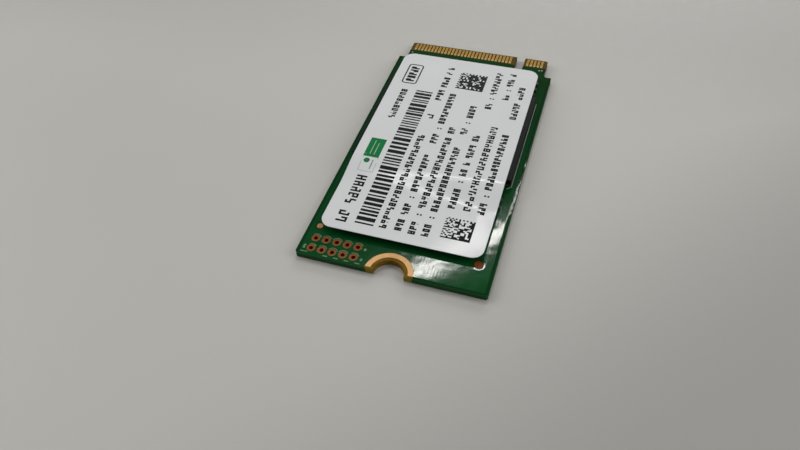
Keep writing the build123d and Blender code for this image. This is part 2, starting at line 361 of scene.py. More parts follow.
def board_finish():
    """Glossy green mask over uneven copper, and dull laminate where it is bare or cut."""
    finish, tree, shader = new_finish("board_mask_and_laminate")
    place = millimetres(tree)
    x, y, z = wire(tree, "ShaderNodeSeparateXYZ", {0: place}).outputs
    upper = calc(tree, "GREATER_THAN", z, board_top / 2)
    on_tongue = calc(tree, "GREATER_THAN", y, shoulder_y)
    inside = distance_inside(tree, x, y, on_tongue)
    from_screw = distance_from(tree, x, y, (0.0, near_edge))
    from_opening = distance_from_openings(tree, x, y)

    # Where the laminate is bare, where a target's opening lies, and where the cut wall shows
    bare_screw = calc(tree, "LESS_THAN", from_screw, screw_pad_reach + screw_opening_margin)
    bare = calc(tree, "MAXIMUM", bare_screw, calc(tree, "GREATER_THAN", y, mask_end_y))
    opening = calc(tree, "MULTIPLY", upper, calc(tree, "LESS_THAN", from_opening, 0.0))
    from_middle = calc(tree, "ABSOLUTE", calc(tree, "SUBTRACT", z, board_top / 2))
    wall = calc(tree, "LESS_THAN", from_middle, board_top / 2 - mask_thickness - face_sliver)

    broad = noise(tree, place, 3.0, 3.0)
    weave = noise(tree, place, 0.22, 1.0, stretch=(1.0, 0.35, 1.0))
    tracks = routed_copper(tree, place)
    laminate = laminate_colour(tree, place, y)
    face = mask_colour(tree, y, inside, broad, tracks)
    face = blend_colours(tree, bare, face, bare_face_colour(tree, x, y, upper, laminate))
    # Each target's mask opening is dark: bare laminate with painted shade
    face = blend_colours(tree, opening, face, opening_brown_and_shade)
    colour = blend_colours(tree, wall, face, wall_colour(tree, y, z, from_screw, on_tongue, laminate))
    dull = calc(tree, "MAXIMUM", calc(tree, "MAXIMUM", bare, opening), wall)
    rough = blend_numbers(tree, dull, shift_range(tree, weave, 0.3, 0.7, *mask_rough), bare_rough)

    # Relief: the fall past the copper's uneven rim, the dips at the targets, and four grains
    fall = shift_range(tree, inside, edge_fall_outer, edge_fall_inner, 1.0, 0.0)
    uneven = shift_range(tree, broad, 0.42, 0.58, 0.6, 1.0, smooth=True)
    dish = calc(tree, "POWER", shift_range(tree, from_opening, 0.0, dish_width, 1.0, 0.0), 2)
    patterns = (
        (calc(tree, "MULTIPLY", calc(tree, "POWER", fall, 2), uneven), -edge_relief),
        (calc(tree, "MULTIPLY", upper, dish), -dish_relief),
        (noise(tree, place, 1.1, 0.0), swell_relief),
        (tracks, track_relief),
        (weave, weave_relief),
        (noise(tree, place, 0.08, 2.0), grain_relief),
    )
    relief = 0.0
    for pattern, depth in patterns:
        relief = calc(tree, "ADD", relief, calc(tree, "MULTIPLY", pattern, depth))
    feed(
        tree,
        shader,
        Base_Color=colour,
        Roughness=rough,
        Specular_IOR_Level=mask_specular,
        Normal=bump(tree, relief, 1.0),
    )
    return finish


# Finishes of the metal, the packages and the small parts

gold_dark = (0.206, 0.113, 0.008, 1)
gold_light = (0.246, 0.142, 0.017, 1)
# Painted highlight: the contacts paler towards their inner ends, by a share over a length
gold_highlight = (0.32, 0.230, 0.072, 1)
gold_highlight_length = 0.7
gold_highlight_share = 0.8
ring_dark = (0.145, 0.050, 0.012, 1)
ring_light = (0.230, 0.096, 0.029, 1)
bore_red = (0.30, 0.016, 0.001, 1)
bore_sliver = 0.005


def gold_finish():
    """Thin gold plating, drawn along Y, with a painted highlight towards the inner ends of the contacts."""
    finish, tree, shader = new_finish("contact_gold")
    place = millimetres(tree)
    y = wire(tree, "ShaderNodeSeparateXYZ", {0: place}).outputs["Y"]
    # Painted highlight towards the contacts' inner ends
    inner = shift_range(
        tree, y, contact_low.y, contact_low.y + gold_highlight_length, gold_highlight_share, 0.0, smooth=True
    )
    streaks = noise(tree, place, 0.09, 3.0, stretch=(1.0, 0.06, 1.0))
    cloud = noise(tree, place, 0.8, 2.0)
    gold = blend_colours(tree, cloud, gold_dark, gold_light)
    feed(
        tree,
        shader,
        Base_Color=blend_colours(tree, inner, gold, gold_highlight),
        Metallic=0.5,
        Specular_IOR_Level=0.1,
        Roughness=shift_range(tree, streaks, 0.3, 0.7, 0.28, 0.44),
        Normal=bump(tree, streaks, 0.004),
    )
    return finish


def barrel_finish():
    """Plated holes: tan tinned rings on the faces, dark copper red down the bores."""
    finish, tree, shader = new_finish("test_hole_plating")
    place = millimetres(tree)
    z = wire(tree, "ShaderNodeSeparateXYZ", {0: place}).outputs["Z"]
    from_middle = calc(tree, "ABSOLUTE", calc(tree, "SUBTRACT", z, board_top / 2))
    bore = calc(tree, "LESS_THAN", from_middle, board_top / 2 - bore_sliver)
    cloud = noise(tree, place, 0.35, 3.0)
    ring = blend_colours(tree, cloud, ring_dark, ring_light)
    feed(
        tree,
        shader,
        Base_Color=blend_colours(tree, bore, ring, bore_red),
        Metallic=0.2,
        Specular_IOR_Level=0.1,
        Roughness=shift_range(tree, cloud, 0.3, 0.7, 0.36, 0.5),
        Normal=bump(tree, noise(tree, place, 0.1, 2.0), 0.006),
    )
    return finish


def dress_card():
    """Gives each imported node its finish."""
    gold = gold_finish()
    barrel = barrel_finish()
    pad = mottled_finish(
        "screw_pad_copper", (0.59, 0.325, 0.125), (0.70, 0.405, 0.165), 0.5, (0.40, 0.52), 0.006, 0.25
    )
    target = mottled_finish(
        "target_copper", (0.29, 0.125, 0.028), (0.43, 0.220, 0.062), 0.4, (0.40, 0.55), 0.006, 0.2
    )
    # The right target: a darker copy of the target copper, as painted shade under the label's edge
    shaded_target = mottled_finish(
        "target_copper_painted_shade", (0.16, 0.042, 0.008), (0.26, 0.080, 0.020), 0.4, (0.45, 0.60), 0.006,
        specular=0.08,
    )
    solder = mottled_finish(
        "tin_solder", (0.18, 0.170, 0.155), (0.30, 0.285, 0.260), 0.25, (0.36, 0.50), 0.01, 0.7
    )
    # A darker copy of the tin solder for the small terminals under the label: painted shade
    solder_painted_shade = mottled_finish(
        "solder_painted_shade", (0.045, 0.044, 0.038), (0.095, 0.092, 0.080), 0.2, (0.50, 0.65), 0.01, 0.3,
        specular=0.2,
    )
    mould = mottled_finish(
        "black_mould", (0.0045, 0.0045, 0.005), (0.008, 0.008, 0.0085), 0.7, (0.42, 0.58), 0.006,
        specular=0.06,
    )
    substrate = mottled_finish(
        "package_substrate_edge", (0.020, 0.028, 0.018), (0.050, 0.052, 0.034), 0.3, (0.5, 0.7), 0.01,
        stretch=(1.0, 1.0, 8.0),
    )
    ferrite = mottled_finish(
        "pressed_ferrite", (0.060, 0.060, 0.064), (0.105, 0.104, 0.106), 0.12, (0.5, 0.7), 0.02
    )
    ceramic = mottled_finish(
        "fired_ceramic", (0.26, 0.17, 0.10), (0.42, 0.30, 0.19), 0.2, (0.35, 0.5), 0.008
    )
    resistor = mottled_finish(
        "resistor_coat", (0.020, 0.020, 0.023), (0.045, 0.045, 0.050), 0.2, (0.3, 0.5), 0.006
    )
    lid = mottled_finish(
        "lid_metal", (0.56, 0.55, 0.52), (0.72, 0.70, 0.66), 0.3, (0.25, 0.38), 0.004, 0.9, (0.2, 1.0, 1.0)
    )
    terminals = [name for name in card if name.endswith("_terminals")]
    finishes = (
        (board_finish(), ("circuit_board",)),
        (gold, [name for name in card if name.startswith("edge_contacts")]),
        (pad, ("screw_pad_upper", "screw_pad_lower")),
        (target, ("alignment_target_left",)),
        (shaded_target, ("alignment_target_right",)),
        (barrel, ("test_hole_barrels",)),
        (solder_painted_shade, [name for name in terminals if name.startswith(("resistor", "capacitor"))]),
        (solder, [name for name in terminals if name.startswith(("inductor", "input"))]),
        (solder, ("package_balls", "power_controller_leads")),
        (mould, ("package_mould", "power_controller_body")),
        (substrate, ("package_substrate",)),
        (ferrite, [f"inductor_{place}_body" for place in ("outer", "inner", "right")]),
        (ceramic, ("capacitor_bodies", "input_capacitor_bodies", "crystal_base")),
        (resistor, ("resistor_bodies",)),
        (lid, ("crystal_lid",)),
    )
    for finish, names in finishes:
        for name in names:
            mesh = card[name].data
            mesh.materials.clear()
            mesh.materials.append(finish)


# The label: a film that lies on the package, bends down past it and sags where nothing carries it

label_corner_radius = 1.4
label_rim = 0.02
label_bend_gap = 0.2
label_far_sag = 0.03
label_near_sag = 0.008
label_side_sag = 0.05
side_sag_start = 0.65 * side_edge
label_ripple = 0.006
print_room = 0.012
label_thickness = label_high.z - package_high.z - print_room
label_drop = package_high.z - inductor_high.z
bend_start_y = package_low.y
bend_end_y = inductor_high.y + label_bend_gap
side_sag_near_y = label_low.y + 1.2
side_sag_far_y = bend_end_y - 0.6


def ease(start, end, value):
    """0 before start and 1 past end, with a smooth rise between them."""
    t = min(max((value - start) / (end - start), 0.0), 1.0)
    return t * t * (3 - 2 * t)


def label_top(x, y):
    """Height of the label's printed face."""
    fall = ease(bend_start_y, bend_end_y, y) * label_drop
    far_free = ease(package_high.y, label_high.y, y)
    near_free = ease(inductor_low.y, label_low.y, y)
    past_bend = ease(bend_start_y, bend_end_y, y) * ease(side_sag_near_y, side_sag_far_y, y)
    side_free = past_bend * ease(side_sag_start, label_high.x, abs(x))
    wave = 0.5 + 0.5 * math.sin(0.55 * x + 1.0) * math.sin(0.8 * y + 0.35 * x)
    ripple = label_ripple * wave * max(far_free, near_free)
    sag = far_free * label_far_sag + near_free * label_near_sag + side_free * label_side_sag
    return label_high.z - print_room - fall - sag - ripple


def round_cornered_rows(inset, corner_steps=10, row_step=0.25, columns=72):
    """Rows of points that fill the label's round-cornered outline, drawn in by inset."""
    radius = label_corner_radius - inset
    low = Vector((label_low.x + inset, label_low.y + inset))
    high = Vector((label_high.x - inset, label_high.y - inset))
    ends = []
    for step in range(corner_steps + 1):
        turn = math.radians(90) * step / corner_steps
        ends.append((radius * (1 - math.cos(turn)), radius * (1 - math.sin(turn))))
    straight = high.y - low.y - 2 * radius
    count = round(straight / row_step)
    rows = [(low.y + rise, side) for rise, side in ends]
    rows += [(low.y + radius + straight * i / count, 0.0) for i in range(1, count)]
    rows += [(high.y - rise, side) for rise, side in reversed(ends)]
    width = high.x - low.x
    return [
        [(low.x + side + (width - 2 * side) * i / columns, y) for i in range(columns + 1)]
        for y, side in rows
    ]


def rim_of(grid):
    """The points round the edge of a grid of points, in order."""
    right = [row[-1] for row in grid[1:-1]]
    left = [row[0] for row in grid[1:-1]]
    return grid[0] + right + grid[-1][::-1] + left[::-1]


def new_piece(name, mesh):
    """Links a finished mesh that rides with the card."""
    piece = bpy.data.objects.new(name, mesh)
    bpy.context.scene.collection.objects.link(piece)
    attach(piece, BODY)
    return piece


def label_film():
    """The label as one closed film with a rounded upper rim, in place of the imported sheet."""
    shape = bmesh.new()

    def add_grid(inset, drop):
        return [
            [shape.verts.new(Vector((x, y, label_top(x, y) - drop)) * MM) for x, y in row]
            for row in round_cornered_rows(inset)
        ]

    def skin(grid, upwards):
        for near, far in zip(grid, grid[1:]):
            for i in range(len(near) - 1):
                loop = (near[i], near[i + 1], far[i + 1], far[i])
                shape.faces.new(loop if upwards else loop[::-1])

    def band(lower, upper):
        for i in range(len(lower)):
            j = (i + 1) % len(lower)
            shape.faces.new((lower[i], lower[j], upper[j], upper[i]))

    top = add_grid(label_rim, 0.0)
    bottom = add_grid(0.0, label_thickness)
    shoulder = [
        shape.verts.new(vert.co + Vector((0, 0, label_thickness - label_rim)) * MM)
        for vert in rim_of(bottom)
    ]
    skin(top, True)
    skin(bottom, False)
    band(rim_of(bottom), shoulder)
    band(shoulder, rim_of(top))
    bmesh.ops.recalc_face_normals(shape, faces=shape.faces)
    mesh = bpy.data.meshes.new("label_film")
    shape.to_mesh(mesh)
    shape.free()
    mesh.polygons.foreach_set("use_smooth", [True] * len(mesh.polygons))
    mesh.set_sharp_from_angle(angle=math.radians(30))
    mesh.materials.append(film_finish())
    piece = new_piece("label_film", mesh)
    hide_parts("label")
    return piece


film_white_dark = (0.640, 0.652, 0.656, 1)
film_white_light = (0.690, 0.700, 0.703, 1)
film_relief = 0.0004
film_swell = 30.0


def film_finish():
    """White film, faintly mottled, with a broad swell far deeper than its fibre."""
    finish, tree, shader = new_finish("label_white_film")
    place = millimetres(tree)
    cloud = noise(tree, place, 5.0, 3.0)
    fibre = noise(tree, place, 0.12, 3.0)
    relief = calc(tree, "ADD", calc(tree, "MULTIPLY", cloud, film_swell), fibre)
    feed(
        tree,
        shader,
        Base_Color=blend_colours(tree, cloud, film_white_dark, film_white_light),
        Roughness=shift_range(tree, fibre, 0.3, 0.7, 0.085, 0.105),
        Specular_IOR_Level=0.08,
        Normal=bump(tree, relief, film_relief),
    )
    return finish


# Raised print: bars and dots of ink laid on a surface

ray_start = 6.0
ray_length = 8.0

# How far a mark's middle stands above the surface, as a share of its thickness: its foot sinks in
mark_lift = 0.4


def lay_on(tree, geometry, surface):
    """Sets each point onto the surface straight below, and keeps its height as a height above that."""
    target = wire(tree, "GeometryNodeObjectInfo", {"Object": surface}, transform_space="RELATIVE")
    split = wire(tree, "ShaderNodeSeparateXYZ", {0: wire(tree, "GeometryNodeInputPosition").outputs[0]})
    x, y, z = split.outputs
    above = wire(tree, "ShaderNodeCombineXYZ", {"X": x, "Y": y, "Z": ray_start * MM})
    ray = wire(
        tree,
        "GeometryNodeRaycast",
        {
            "Target Geometry": target.outputs["Geometry"],
            "Source Position": above.outputs[0],
            "Ray Direction": (0.0, 0.0, -1.0),
            "Ray Length": ray_length * MM,
        },
    )
    rise = wire(tree, "ShaderNodeCombineXYZ", {"Z": z})
    landed = wire(
        tree, "ShaderNodeVectorMath", {0: ray.outputs["Hit Position"], 1: rise.outputs[0]}, operation="ADD"
    )
    moved = wire(
        tree, "GeometryNodeSetPosition", {"Geometry": geometry, "Position": landed.outputs[0]}
    )
    return moved.outputs[0]


def shape_tree(name, inputs):
    """A geometry tree with named inputs. Returns it with its input and output nodes."""
    tree = bpy.data.node_groups.new(name, "GeometryNodeTree")
    for title, kind in (("Places", "NodeSocketGeometry"), *inputs):
        tree.interface.new_socket(title, in_out="INPUT", socket_type=kind)
    tree.interface.new_socket("Geometry", in_out="OUTPUT", socket_type="NodeSocketGeometry")
    return tree, wire(tree, "NodeGroupInput"), wire(tree, "NodeGroupOutput")


def print_tree():
    """A bar or dot of ink at each point, as large and as turned as the point says."""
    tree, given, made = shape_tree(
        "raised_print",
        (
            ("Surface", "NodeSocketObject"),
            ("Thickness", "NodeSocketFloat"),
            ("Round", "NodeSocketBool"),
            ("Ink", "NodeSocketMaterial"),
        ),
    )
    bar = wire(
        tree,
        "GeometryNodeMeshCube",
        {"Size": (1.0, 1.0, 1.0), "Vertices X": 3, "Vertices Y": 3, "Vertices Z": 2},
    )
    dot = wire(
        tree,
        "GeometryNodeMeshCylinder",
        {"Vertices": 20, "Radius": 0.5, "Depth": 1.0},
        fill_type="NGON",
    )
    mark = wire(
        tree,
        "GeometryNodeSwitch",
        {"Switch": given.outputs["Round"], "False": bar.outputs["Mesh"], "True": dot.outputs["Mesh"]},
        input_type="GEOMETRY",
    )
    seated = wire(
        tree,
        "GeometryNodeTransform",
        {"Geometry": mark.outputs[0], "Translation": (0.0, 0.0, mark_lift)},
    )
    size = wire(tree, "GeometryNodeInputNamedAttribute", {"Name": "mark_size"}, data_type="FLOAT_VECTOR")
    turn = wire(tree, "GeometryNodeInputNamedAttribute", {"Name": "mark_turn"}, data_type="FLOAT_VECTOR")
    split = wire(tree, "ShaderNodeSeparateXYZ", {0: size.outputs["Attribute"]})
    scale = wire(
        tree,
        "ShaderNodeCombineXYZ",
        {"X": split.outputs["X"], "Y": split.outputs["Y"], "Z": given.outputs["Thickness"]},
    )
    placed = wire(
        tree,
        "GeometryNodeInstanceOnPoints",
        {
            "Points": given.outputs["Places"],
            "Instance": seated.outputs[0],
            "Rotation": turn.outputs["Attribute"],
            "Scale": scale.outputs[0],
        },
    )
    solid = wire(tree, "GeometryNodeRealizeInstances", {"Geometry": placed.outputs[0]})
    laid = lay_on(tree, solid.outputs[0], given.outputs["Surface"])
    inked = wire(tree, "GeometryNodeSetMaterial", {"Geometry": laid, "Material": given.outputs["Ink"]})
    tree.links.new(inked.outputs[0], made.inputs[0])
    return tree


def grown(name, points, tree, values):
    """Runs a shape tree on a cloud of points and returns the plain mesh."""
    cloud = bpy.data.objects.new(name, points)
    bpy.context.scene.collection.objects.link(cloud)
    modifier = cloud.modifiers.new(name, "NODES")
    modifier.node_group = tree
    for item in tree.interface.items_tree:
        if item.item_type == "SOCKET" and item.in_out == "INPUT" and item.name in values:
            modifier[item.identifier] = values[item.name]
    graph = bpy.context.evaluated_depsgraph_get()
    mesh = bpy.data.meshes.new_from_object(cloud.evaluated_get(graph), depsgraph=graph)
    cloud.modifiers.remove(modifier)
    bpy.data.objects.remove(cloud)
    mesh.name = name
    return mesh


def printed(name, tree, marks, surface, thickness, ink, round_marks=False):
    """A piece of print made of marks, each (x, y, size along x, size along y, turn in degrees)."""
    points = bpy.data.meshes.new(name + "_places")
    points.from_pydata([Vector((mark[0], mark[1], 0.0)) * MM for mark in marks], [], [])
    sizes = points.attributes.new("mark_size", "FLOAT_VECTOR", "POINT")
    turns = points.attributes.new("mark_turn", "FLOAT_VECTOR", "POINT")
    for i, (_, _, size_x, size_y, turn) in enumerate(marks):
        sizes.data[i].vector = (size_x * MM, size_y * MM, 0.0)
        turns.data[i].vector = (0.0, 0.0, math.radians(turn))
    values = {"Surface": surface, "Thickness": thickness * MM, "Round": round_marks, "Ink": ink}
    return new_piece(name, grown(name, points, tree, values))


def ink_finish(name, dark, light, rough):
    """Ink: evenly coloured, and too dull to mirror the tube light."""
    return mottled_finish(name, dark, light, 0.3, rough, 0.002, specular=0.07)


# What is printed on the label: rows of plain strokes, a bar code, two cell codes and a green field.
# The print reads along +Y, with the tops of its strokes towards -X.

stroke = 0.222
ink_thickness = 0.007
glyph_height = 0.86
glyph_share = 0.76

# Each row of strokes: middle X, first Y, last Y, and how many characters each of its words has, where
# 0 stands for a pair of dots
print_rows = (
    (-7.32, 2.13, 8.18, (9,)),
    (-2.41, -15.77, -0.15, (23,)),
    (-0.65, -15.68, -3.43, (3, 3, 0, 10)),
    (-2.45, 3.22, 4.01, (1,)),
    (-2.40, 7.03, 14.31, (4, 4, 1, 1)),
    (-0.73, -1.24, 8.76, (3, 0, 10)),
    (0.97, -15.78, 2.22, (3, 0, 18, 2)),
    (2.49, -15.68, -1.25, (3, 0, 17)),
    (2.52, 1.28, 6.97, (2, 0, 4)),
    (4.26, -10.87, 1.52, (5, 0, 2, 1, 4, 2)),
    (6.07, -10.82, 3.60, (18,)),
    (7.72, -10.92, 2.51, (3, 0, 16)),
    (4.36, 6.87, 14.69, (2, 0, 8)),
    (6.14, 9.25, 14.89, (2, 0, 3, 1)),
    (7.88, 5.63, 12.31, (5, 4)),
)
framed_row = (-7.29, 10.05, 13.35, (5,))
framed_row_height = 1.15
framed_stroke = 0.30
frame_box = (-8.26, 9.61, -6.32, 13.79)
frame_radius = 0.35
frame_stroke = 0.17
large_row = (-7.35, -16.07, -8.57, (2, 5))
large_row_height = 1.3
large_stroke = 0.26
bar_code = (-5.72, -15.82, -3.47, 8.62)
bar_module = 0.115
bar_widths = (2, 2, 3, 4, 5)
bar_gaps = (1.5, 2, 2.5)
cells_per_side = 16

# Each cell code: its box, and the share of its cells that is dark
cell_codes = (((-0.86, 10.1, 2.87, 13.61), 0.74), ((4.17, -15.28, 7.56, -12.21), 0.48))
green_field = (-8.38, -5.5, -6.39, -2.13)
outlined_cell = (-8.3, -7.88, -6.37, -5.55)
outline_stroke = 0.05

# Pale lines on the green field: from X to X past its first side, and the margins at both ends
field_lines = ((0.69, 0.75, 0.45, 0.45), (1.23, 1.29, 0.45, 0.85))
field_line_thickness = ink_thickness * 1.6

# In the outlined cell: the green dot, and a bar from X to X with a margin at both ends
cell_dot_inset = 0.62
cell_dot_size = 0.78
cell_bar = (1.3, 1.48, 0.4)


def bar(x0, y0, x1, y1, turn=0.0):
    """A mark from its two corners."""
    return ((x0 + x1) / 2, (y0 + y1) / 2, abs(x1 - x0), abs(y1 - y0), turn)


def stroke_glyph(draw, left, foot, width, height, line):
    """An abstract character: two stems, long or short, with two or three bars between them."""
    marks = []
    full, low, high = (0.0, 1.0), (0.0, 0.58), (0.42, 1.0)
    first = draw.choice((full, full, full, low, high))
    second = draw.choice((full, full, low, high))
    for start, span in ((left, first), (left + width - line, second)):
        marks.append(bar(foot - span[0] * height, start, foot - span[1] * height, start + line))
    for level in draw.sample((0.0, 0.5, 1.0), draw.choice((1, 2, 2, 3))):
        middle = foot - line / 2 - level * (height - line)
        marks.append(bar(middle - line / 2, left + line, middle + line / 2, left + width - line))
    return marks


def stroke_row(draw, row, height, line):
    """The marks of one row, with its words spread from its first Y to its last."""
    middle, first, last, words = row
    cells = sum(max(word, 1) for word in words) + len(words) - 1
    advance = (last - first) / (cells - 1 + glyph_share)
    foot = middle + height / 2
    marks = []
    cursor = first
    for word in words:
        if word == 0:
            for level in (0.18, 0.62):
                centre = foot - level * height
                marks.append(bar(centre - line / 2, cursor + line, centre + line / 2, cursor + 2 * line))
        for i in range(word):
            marks += stroke_glyph(draw, cursor + i * advance, foot, advance * glyph_share, height, line)
        cursor += (max(word, 1) + 1) * advance
    return marks


def bar_code_marks(draw):
    """Bars of random widths, with random gaps between them."""
    x0, y0, x1, y1 = bar_code
    marks = []
    y = y0
    while y < y1 - 3 * bar_module:
        width = draw.choice(bar_widths) * bar_module
        marks.append(bar(x0, y, x1, min(y + width, y1)))
        y += width + draw.choice(bar_gaps) * bar_module
    return marks


def cell_code_marks(draw, box, dark_share):
    """A square code: two solid sides, two broken ones and random cells, each run of cells one bar."""
    x0, y0, x1, y1 = box
    step_x = (x1 - x0) / cells_per_side
    step_y = (y1 - y0) / cells_per_side
    last = cells_per_side - 1
    marks = []
    for row in range(cells_per_side):
        run = 0
        for column in range(cells_per_side + 1):
            edge = row in (0, last) or column in (0, last)
            solid = row == 0 or column == last
            dark = column <= last and (solid or (edge and (row + column) % 2 == 0))
            if not edge and column < last:
                dark = draw.random() < dark_share
            if dark:
                run += 1
            elif run:
                y = y0 + row * step_y
                marks.append(bar(x0 + (column - run) * step_x, y, x0 + column * step_x, y + step_y))
                run = 0
    return marks


def outline_marks(box, radius, line):
    """A round-cornered outline: four straight bars and short turned ones round each corner."""
    x0, y0, x1, y1 = box
    half = line / 2
    marks = [
        bar(x0 + radius, y0 - half, x1 - radius, y0 + half),
        bar(x0 + radius, y1 - half, x1 - radius, y1 + half),
        bar(x0 - half, y0 + radius, x0 + half, y1 - radius),
        bar(x1 - half, y0 + radius, x1 + half, y1 - radius),
    ]
    corners = (
        (x1 - radius, y1 - radius, 0),
        (x0 + radius, y1 - radius, 90),
        (x0 + radius, y0 + radius, 180),
        (x1 - radius, y0 + radius, 270),
    )
    for x, y, start in corners if radius else ():
        marks += arc_marks(x, y, radius, start, start + 90, line)
    return marks


def arc_marks(x, y, radius, start, end, line, step=15):
    """Short bars round part of a circle, from one angle to another in degrees."""
    count = max(round((end - start) / step), 1)
    length = 2 * radius * math.tan(math.radians((end - start) / count / 2)) + line * 0.15
    marks = []
    for i in range(count):
        turn = start + (i + 0.5) * (end - start) / count
        spoke = math.radians(turn)
        marks.append((x + radius * math.cos(spoke), y + radius * math.sin(spoke), line, length, turn))
    return marks


def label_print(film, tree):
    """All that is printed on the label, one piece for each ink and place."""
    draw = random.Random(SEED)
    black = ink_finish("label_black_ink", (0.004, 0.004, 0.005), (0.008, 0.008, 0.009), (0.40, 0.50))
    green = ink_finish("label_green_ink", (0.0005, 0.142, 0.033), (0.001, 0.185, 0.048), (0.30, 0.40))
    pale = ink_finish("label_pale_ink", (0.52, 0.58, 0.54), (0.62, 0.66, 0.63), (0.30, 0.40))
    grey = ink_finish("label_grey_ink", (0.25, 0.28, 0.27), (0.33, 0.36, 0.35), (0.30, 0.40))
    marks = []
    for row in print_rows:
        marks += stroke_row(draw, row, glyph_height, stroke)
    marks += stroke_row(draw, framed_row, framed_row_height, framed_stroke)
    marks += stroke_row(draw, large_row, large_row_height, large_stroke)
    marks += outline_marks(frame_box, frame_radius, frame_stroke)
    marks += bar_code_marks(draw)
    for box, dark_share in cell_codes:
        marks += cell_code_marks(draw, box, dark_share)
    printed("label_black_print", tree, marks, film, ink_thickness, black)
    field = bar(*green_field)
    printed("label_green_field", tree, [field], film, ink_thickness, green)
    x0, y0, x1, y1 = green_field
    lines = [
        bar(x0 + start, y0 + before, x0 + end, y1 - after) for start, end, before, after in field_lines
    ]
    printed("label_field_lines", tree, lines, film, field_line_thickness, pale)
    x0, y0, x1, y1 = outlined_cell
    dot = (x0 + cell_dot_inset, y1 - cell_dot_inset, cell_dot_size, cell_dot_size, 0.0)
    printed("label_green_dot", tree, [dot], film, ink_thickness, green, round_marks=True)
    cell = outline_marks(outlined_cell, 0.0, outline_stroke)
    start, end, margin = cell_bar
    cell.append(bar(x0 + start, y0 + margin, x0 + end, y1 - margin))
    printed("label_cell_outline", tree, cell, film, ink_thickness, grey)


# White legend on the board, and the rounded beads of mask round the test holes

legend_thickness = 0.012
legend_line = 0.07
package_line_gap = 0.08
package_line_start = 0.15
package_corner_cut = 0.5
dot_size = 0.2
tall_dot_size = 0.24
rim_height = 0.022


def board_legend(tree):
    """Lines round the package, marks beside the test holes, and dots beside the contacts."""
    faint = ink_finish("legend_faint", (0.09, 0.16, 0.08), (0.20, 0.30, 0.17), (0.45, 0.60))
    white = ink_finish("legend_white", (0.34, 0.38, 0.34), (0.48, 0.52, 0.47), (0.45, 0.60))
    board = card["circuit_board"]
    line_x = package_high.x + package_line_gap
    line_start = package_low.y + package_line_start
    half = legend_line / 2
    cut = package_corner_cut
    marks = [
        bar(line_x - half, line_start, line_x + half, package_high.y),
        bar(-line_x - half, line_start, -line_x + half, package_high.y),
        (line_x - cut / 2, package_low.y - 0.1, legend_line, cut * math.sqrt(2), -45),
    ]
    printed("package_outline_print", tree, marks, board, legend_thickness, white)

    # Beside the test holes: an arc and a dash at the first, dashes along the near row, an arc at each
    first_x, first_y = ring_places[0]
    marks = arc_marks(first_x, first_y, ring_radius + 0.32, 158, 196, 0.26, 19)
    marks.append((first_x - 0.61, first_y - 0.64, 0.85, 0.12, 0.0))
    marks += [(x + 0.68, near_edge + 0.3, 0.55, 0.13, 0.0) for x, y in ring_places[1:ring_columns]]
    for i, (x, y) in enumerate(ring_places):
        marks += arc_marks(x, y, ring_radius + 0.09, 35 - 7 * (i % 3), 125 + 9 * (i % 4), 0.08, 20)
    printed("board_legend_lines", tree, marks, board, legend_thickness, faint)
    row_dots = [
        (barrel_high.x + 0.41, barrel_high.y - ring_radius - 0.13, 0.34, 0.38, 0.0),
        (barrel_high.x + 0.44, barrel_low.y + ring_radius - 0.1, 0.3, 0.36, 0.0),
    ]
    printed("test_row_dots", tree, row_dots, board, legend_thickness, faint, round_marks=True)
    dots = [
        (contact_low.x - 0.05, mask_end_y - 0.55, dot_size, dot_size, 0.0),
        (short_contact_high.x - 0.31, mask_end_y - 0.55, dot_size, tall_dot_size, 0.0),
        (short_contact_high.x + 0.07, mask_end_y - 0.46, dot_size, tall_dot_size, 0.0),
    ]
    printed("board_legend_dots", tree, dots, board, legend_thickness, white, round_marks=True)


def rim_tree():
    """A round bead of mask about each point."""
    tree, given, made = shape_tree(
        "mask_rims",
        (
            ("Radius", "NodeSocketFloat"),
            ("Bead", "NodeSocketFloat"),
            ("Mask", "NodeSocketMaterial"),
        ),
    )
    path, section = (
        wire(
            tree,
            "GeometryNodeCurvePrimitiveCircle",
            {"Resolution": steps, "Radius": given.outputs[size]},
        )
        for size, steps in (("Radius", 40), ("Bead", 8))
    )
    bead = wire(
        tree,
        "GeometryNodeCurveToMesh",
        {"Curve": path.outputs["Curve"], "Profile Curve": section.outputs["Curve"]},
    )
    placed = wire(
        tree, "GeometryNodeInstanceOnPoints", {"Points": given.outputs["Places"], "Instance": bead.outputs[0]}
    )
    solid = wire(tree, "GeometryNodeRealizeInstances", {"Geometry": placed.outputs[0]})
    smooth = wire(tree, "GeometryNodeSetShadeSmooth", {"Geometry": solid.outputs[0]})
    coated = wire(
        tree,
        "GeometryNodeSetMaterial",
        {"Geometry": smooth.outputs[0], "Material": given.outputs["Mask"]},
    )
    tree.links.new(coated.outputs[0], made.inputs[0])
    return tree


def face_outwards(mesh):
    """Joins a mesh's seams and turns its faces outwards."""
    shape = bmesh.new()
    shape.from_mesh(mesh)
    bmesh.ops.remove_doubles(shape, verts=shape.verts, dist=1e-8)
    bmesh.ops.recalc_face_normals(shape, faces=shape.faces)
    shape.to_mesh(mesh)
    shape.free()


def mask_rims():
    """A bead of mask round each test hole."""
    mask = mottled_finish(
        "mask_rim_green", (0.0018, 0.046, 0.010), (0.0032, 0.062, 0.015), 0.3, (0.06, 0.10), 0.001,
        specular=mask_specular,
    )
    points = bpy.data.meshes.new("test_hole_places")
    points.from_pydata([Vector((x, y, board_top)) * MM for x, y in ring_places], [], [])
    values = {"Radius": (ring_radius + rim_height) * MM, "Bead": rim_height * MM, "Mask": mask}
    mesh = grown("test_hole_rims", points, rim_tree(), values)
    face_outwards(mesh)
    new_piece("test_hole_rims", mesh)


# Table, lights and camera

camera_place = Vector((17.637, -61.524, 59.281))
camera_right = Vector((0.94974, 0.30905, -0.04984))
camera_up = Vector((-0.20269, 0.72843, 0.65446))
camera_lens = 30.505
camera_sensor = 36.0

